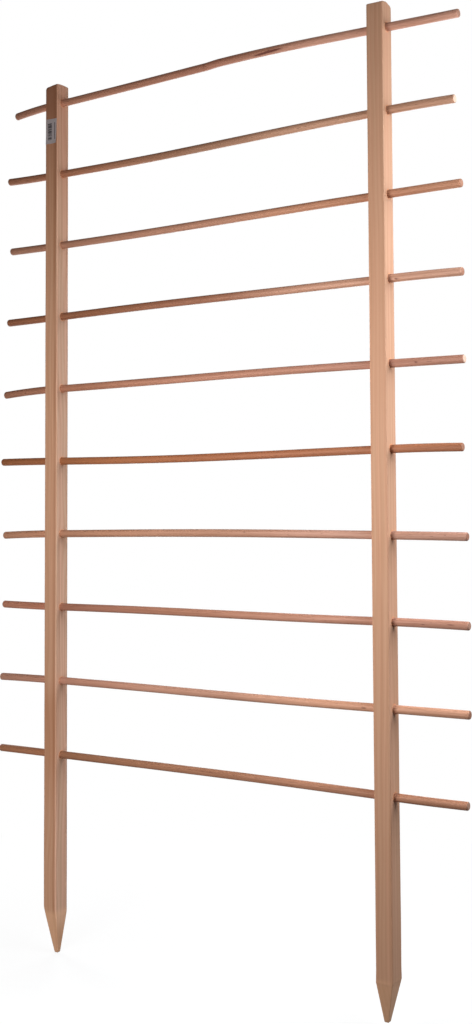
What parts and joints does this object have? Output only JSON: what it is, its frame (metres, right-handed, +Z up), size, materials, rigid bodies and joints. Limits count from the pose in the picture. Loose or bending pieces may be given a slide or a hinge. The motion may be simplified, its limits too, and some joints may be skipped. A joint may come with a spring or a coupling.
{
  "type": "ladder trellis",
  "caption": "Flat wooden plant trellis: two pointed stakes carry evenly spaced round rungs whose ends stand out past the stakes.",
  "frame": {"origin": "on the soil line, midway between the two stakes and in the middle of their depth; the stakes' points are 0.25 m below it", "axes": "+Z up along the stakes, +X along the rungs to the right as seen from the front, +Y to the back"},
  "size_m": [1.058, 0.0362, 1.78],
  "materials": {
    "stake_wood": "planed and unpainted, with straight grain along the stake",
    "rung_wood": "sanded dowel, unpainted, redder than the stakes, with small dark flecks",
    "brad_steel": "bright drawn wire",
    "label_paper": "coated paper sticker, greyish white"
  },
  "bodies": {
    "root": {"left_stake": "stake_wood", "right_stake": "stake_wood", "rung_01": "rung_wood", "rung_02": "rung_wood", "rung_03": "rung_wood", "rung_04": "rung_wood", "rung_05": "rung_wood", "rung_06": "rung_wood", "rung_07": "rung_wood", "rung_08": "rung_wood", "rung_09": "rung_wood", "rung_10": "rung_wood", "left_brads": "brad_steel", "right_brads": "brad_steel", "label": "label_paper"}
  },
  "joints": []
}
